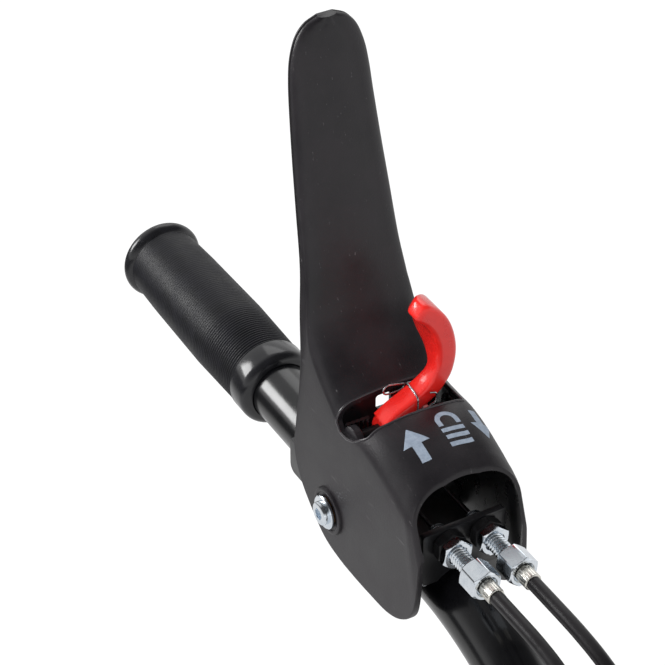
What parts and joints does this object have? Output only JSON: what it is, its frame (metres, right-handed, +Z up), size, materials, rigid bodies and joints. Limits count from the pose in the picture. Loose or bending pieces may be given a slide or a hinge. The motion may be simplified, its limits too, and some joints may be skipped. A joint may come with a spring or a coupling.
{
  "type": "tiller hand control",
  "caption": "Handlebar end with rubber grip, squeeze lever and sliding selector that picks which of two cables is pulled.",
  "frame": {"origin": "centre of the handlebar tube's open lower end, where the machine holds it", "axes": "+Y along the grip away from the machine, +Z up, +X to the operator's left-hand side of the cable plate seen from the machine"},
  "size_m": [0.0648, 0.494, 0.3729],
  "materials": {
    "tube_paint": "gloss black powder coat",
    "grip_rubber": "matte black ribbed rubber",
    "lever_nylon": "moulded black nylon with a fine texture",
    "selector_red": "moulded red plastic",
    "zinc_plate": "bright zinc plate",
    "black_steel": "blackened steel",
    "bush_bronze": "plain bearing bronze",
    "wire_steel": "bright steel wire",
    "sheath_black": "matte black cable sheath",
    "tie_nylon": "black nylon"
  },
  "bodies": {
    "handlebar": {"handlebar_tube": "tube_paint", "grip": "grip_rubber", "control_bracket": "tube_paint", "arm_pin": "zinc_plate", "weld_nut_left": "black_steel", "weld_nut_right": "black_steel", "lock_nut_left": "zinc_plate", "lock_nut_right": "zinc_plate", "cable_adjuster_left": "zinc_plate", "cable_adjuster_right": "zinc_plate", "cable_ferrule_left": "zinc_plate", "cable_ferrule_right": "zinc_plate", "pivot_screw_left": "zinc_plate", "pivot_screw_right": "zinc_plate", "pivot_nut_left": "black_steel", "pivot_nut_right": "black_steel", "cable_left": "sheath_black", "cable_right": "sheath_black", "cable_coil_left": "sheath_black", "cable_coil_right": "sheath_black", "cable_end_left": "zinc_plate", "cable_end_right": "zinc_plate", "cable_tie": "tie_nylon"},
    "lever": {"control_lever": "lever_nylon", "pivot_bush_left": "bush_bronze", "pivot_bush_right": "bush_bronze", "selector_axle": "zinc_plate"},
    "selector_slider": {"selector": "selector_red", "selector_spring": "wire_steel"},
    "arm_left": {"cable_arm_left": "zinc_plate"},
    "arm_right": {"cable_arm_right": "zinc_plate"},
    "wire_left": {"inner_wire_left": "wire_steel"},
    "wire_right": {"inner_wire_right": "wire_steel"}
  },
  "joints": [
    {"name": "lever_squeeze", "type": "hinge", "parent": "handlebar", "child": "lever", "pos_m": [0, 0.267, 0.14886], "axis": [-1, 0, 0], "range_deg": [0, 62], "stiffness_Nm_per_rad": 0.6, "springref_deg": -28.65},
    {"name": "selector_slide", "type": "slide", "parent": "lever", "child": "selector_slider", "axis": [1, 0, 0], "range_m": [-0.009, 0.009], "stiffness_N_per_m": 200},
    {"name": "arm_left_swing", "type": "hinge", "parent": "handlebar", "child": "arm_left", "pos_m": [-0.00885, 0.253, 0.16386], "axis": [-1, 0, 0], "range_deg": [0, 45], "stiffness_Nm_per_rad": 0.3, "springref_deg": -17.19},
    {"name": "arm_right_swing", "type": "hinge", "parent": "handlebar", "child": "arm_right", "pos_m": [0.00885, 0.253, 0.16386], "axis": [-1, 0, 0], "range_deg": [0, 45], "stiffness_Nm_per_rad": 0.3, "springref_deg": -17.19},
    {"name": "wire_left_pull", "type": "slide", "parent": "handlebar", "child": "wire_left", "axis": [0, 1, 0], "range_m": [0, 0.0071]},
    {"name": "wire_right_pull", "type": "slide", "parent": "handlebar", "child": "wire_right", "axis": [0, 1, 0], "range_m": [0, 0.0071]}
  ],
  "couplings": [
    {"joint": "wire_left_pull", "follows": "arm_left_swing", "m_per_rad": 0.009},
    {"joint": "wire_right_pull", "follows": "arm_right_swing", "m_per_rad": 0.009}
  ]
}
